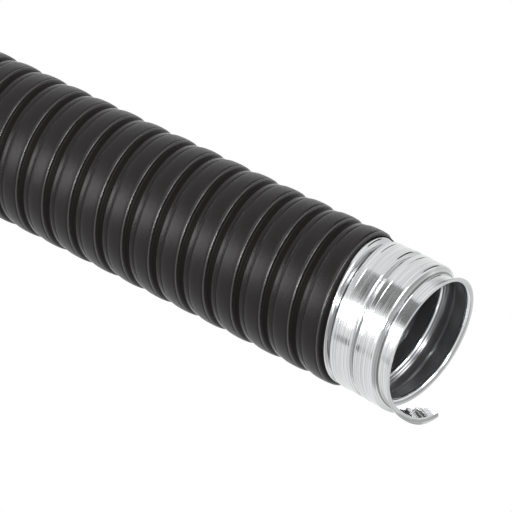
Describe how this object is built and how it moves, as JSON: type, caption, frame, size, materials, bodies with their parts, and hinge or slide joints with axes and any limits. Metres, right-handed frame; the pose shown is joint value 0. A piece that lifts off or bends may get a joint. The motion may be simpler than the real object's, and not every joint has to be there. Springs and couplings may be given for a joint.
{
  "type": "flexible metal conduit",
  "caption": "Flexible metal conduit: a helically wound, interlocked galvanised steel strip in a waved black PVC sheath, with a bare steel end.",
  "frame": {"origin": "on the floor, at the middle of the square cut end that the conduit stands on", "axes": "+Z along the conduit towards its bare steel mouth, -Y towards the viewer"},
  "size_m": [0.06, 0.06, 0.3048],
  "materials": {
    "galvanised_steel": "bright galvanised strip with fine lengthwise roll lines",
    "black_pvc": "black extruded PVC with a satin grain"
  },
  "bodies": {
    "root": {"steel_strip": "galvanised_steel", "pvc_sheath": "black_pvc"}
  },
  "joints": []
}
